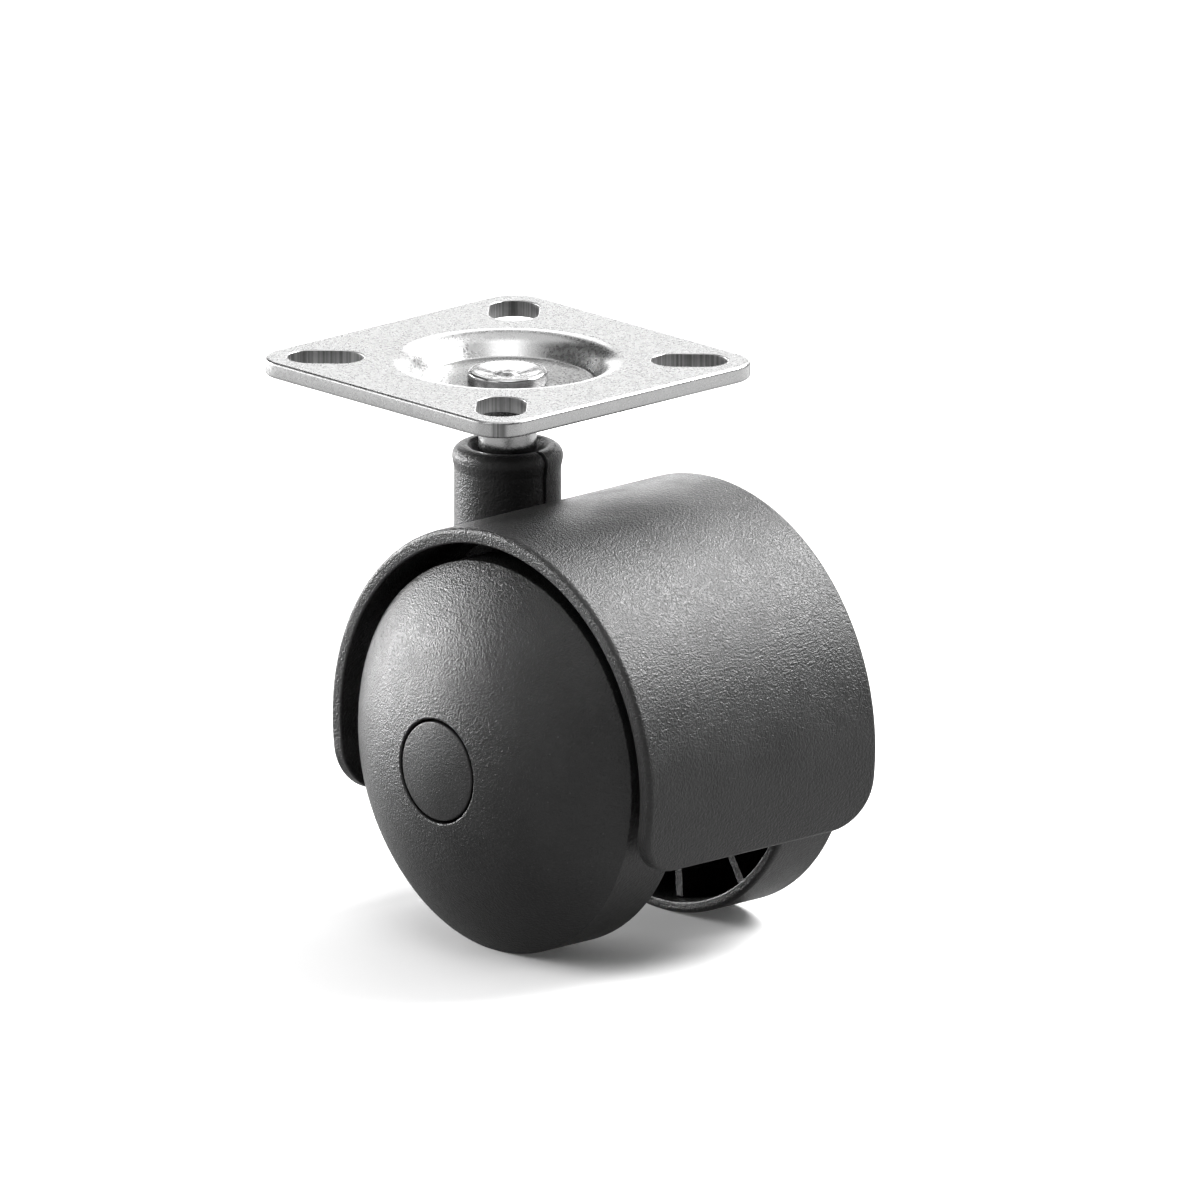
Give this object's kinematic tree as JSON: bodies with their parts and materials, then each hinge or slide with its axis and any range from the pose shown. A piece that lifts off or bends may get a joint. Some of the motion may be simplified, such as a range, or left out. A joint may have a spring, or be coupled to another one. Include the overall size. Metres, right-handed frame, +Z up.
{
  "type": "plate caster",
  "caption": "Swivel caster with dome-faced wheels under a moulded hood, on a stem riveted into a dished, slotted square plate.",
  "frame": {"origin": "on the swivel axis, in the plane of the plate's upper mounting face", "axes": "+Z up out of the plate's mounting face, +Y along the axle towards the left wheel, +X from the swivel axis towards the axle"},
  "size_m": [0.0581, 0.0486, 0.058],
  "materials": {
    "zinc_plate": "zinc-plated pressing, satin",
    "stem_steel": "zinc-plated, turned",
    "spring_steel": "hardened, oiled",
    "housing_plastic": "black polyamide, fine spark-eroded texture",
    "wheel_plastic": "black polyamide, fine spark-eroded texture"
  },
  "bodies": {
    "plate": {"top_plate": "zinc_plate", "swivel_stem": "stem_steel"},
    "swivel": {"housing": "housing_plastic", "grip_ring": "spring_steel", "thrust_disc": "spring_steel", "axle": "stem_steel", "washer_left": "stem_steel", "washer_right": "stem_steel", "retainer_left": "spring_steel", "retainer_right": "spring_steel"},
    "left_wheel": {"wheel_left": "wheel_plastic", "hub_cap_left": "wheel_plastic"},
    "right_wheel": {"wheel_right": "wheel_plastic", "hub_cap_right": "wheel_plastic"}
  },
  "joints": [
    {"name": "swivel_turn", "type": "hinge", "parent": "plate", "child": "swivel", "pos_m": [0, 0, -0.02], "axis": [0, 0, 1], "continuous": true},
    {"name": "left_wheel_spin", "type": "hinge", "parent": "swivel", "child": "left_wheel", "pos_m": [0.0147, 0, -0.0372], "axis": [0, 1, 0], "continuous": true},
    {"name": "right_wheel_spin", "type": "hinge", "parent": "swivel", "child": "right_wheel", "pos_m": [0.0147, 0, -0.0372], "axis": [0, 1, 0], "continuous": true}
  ]
}
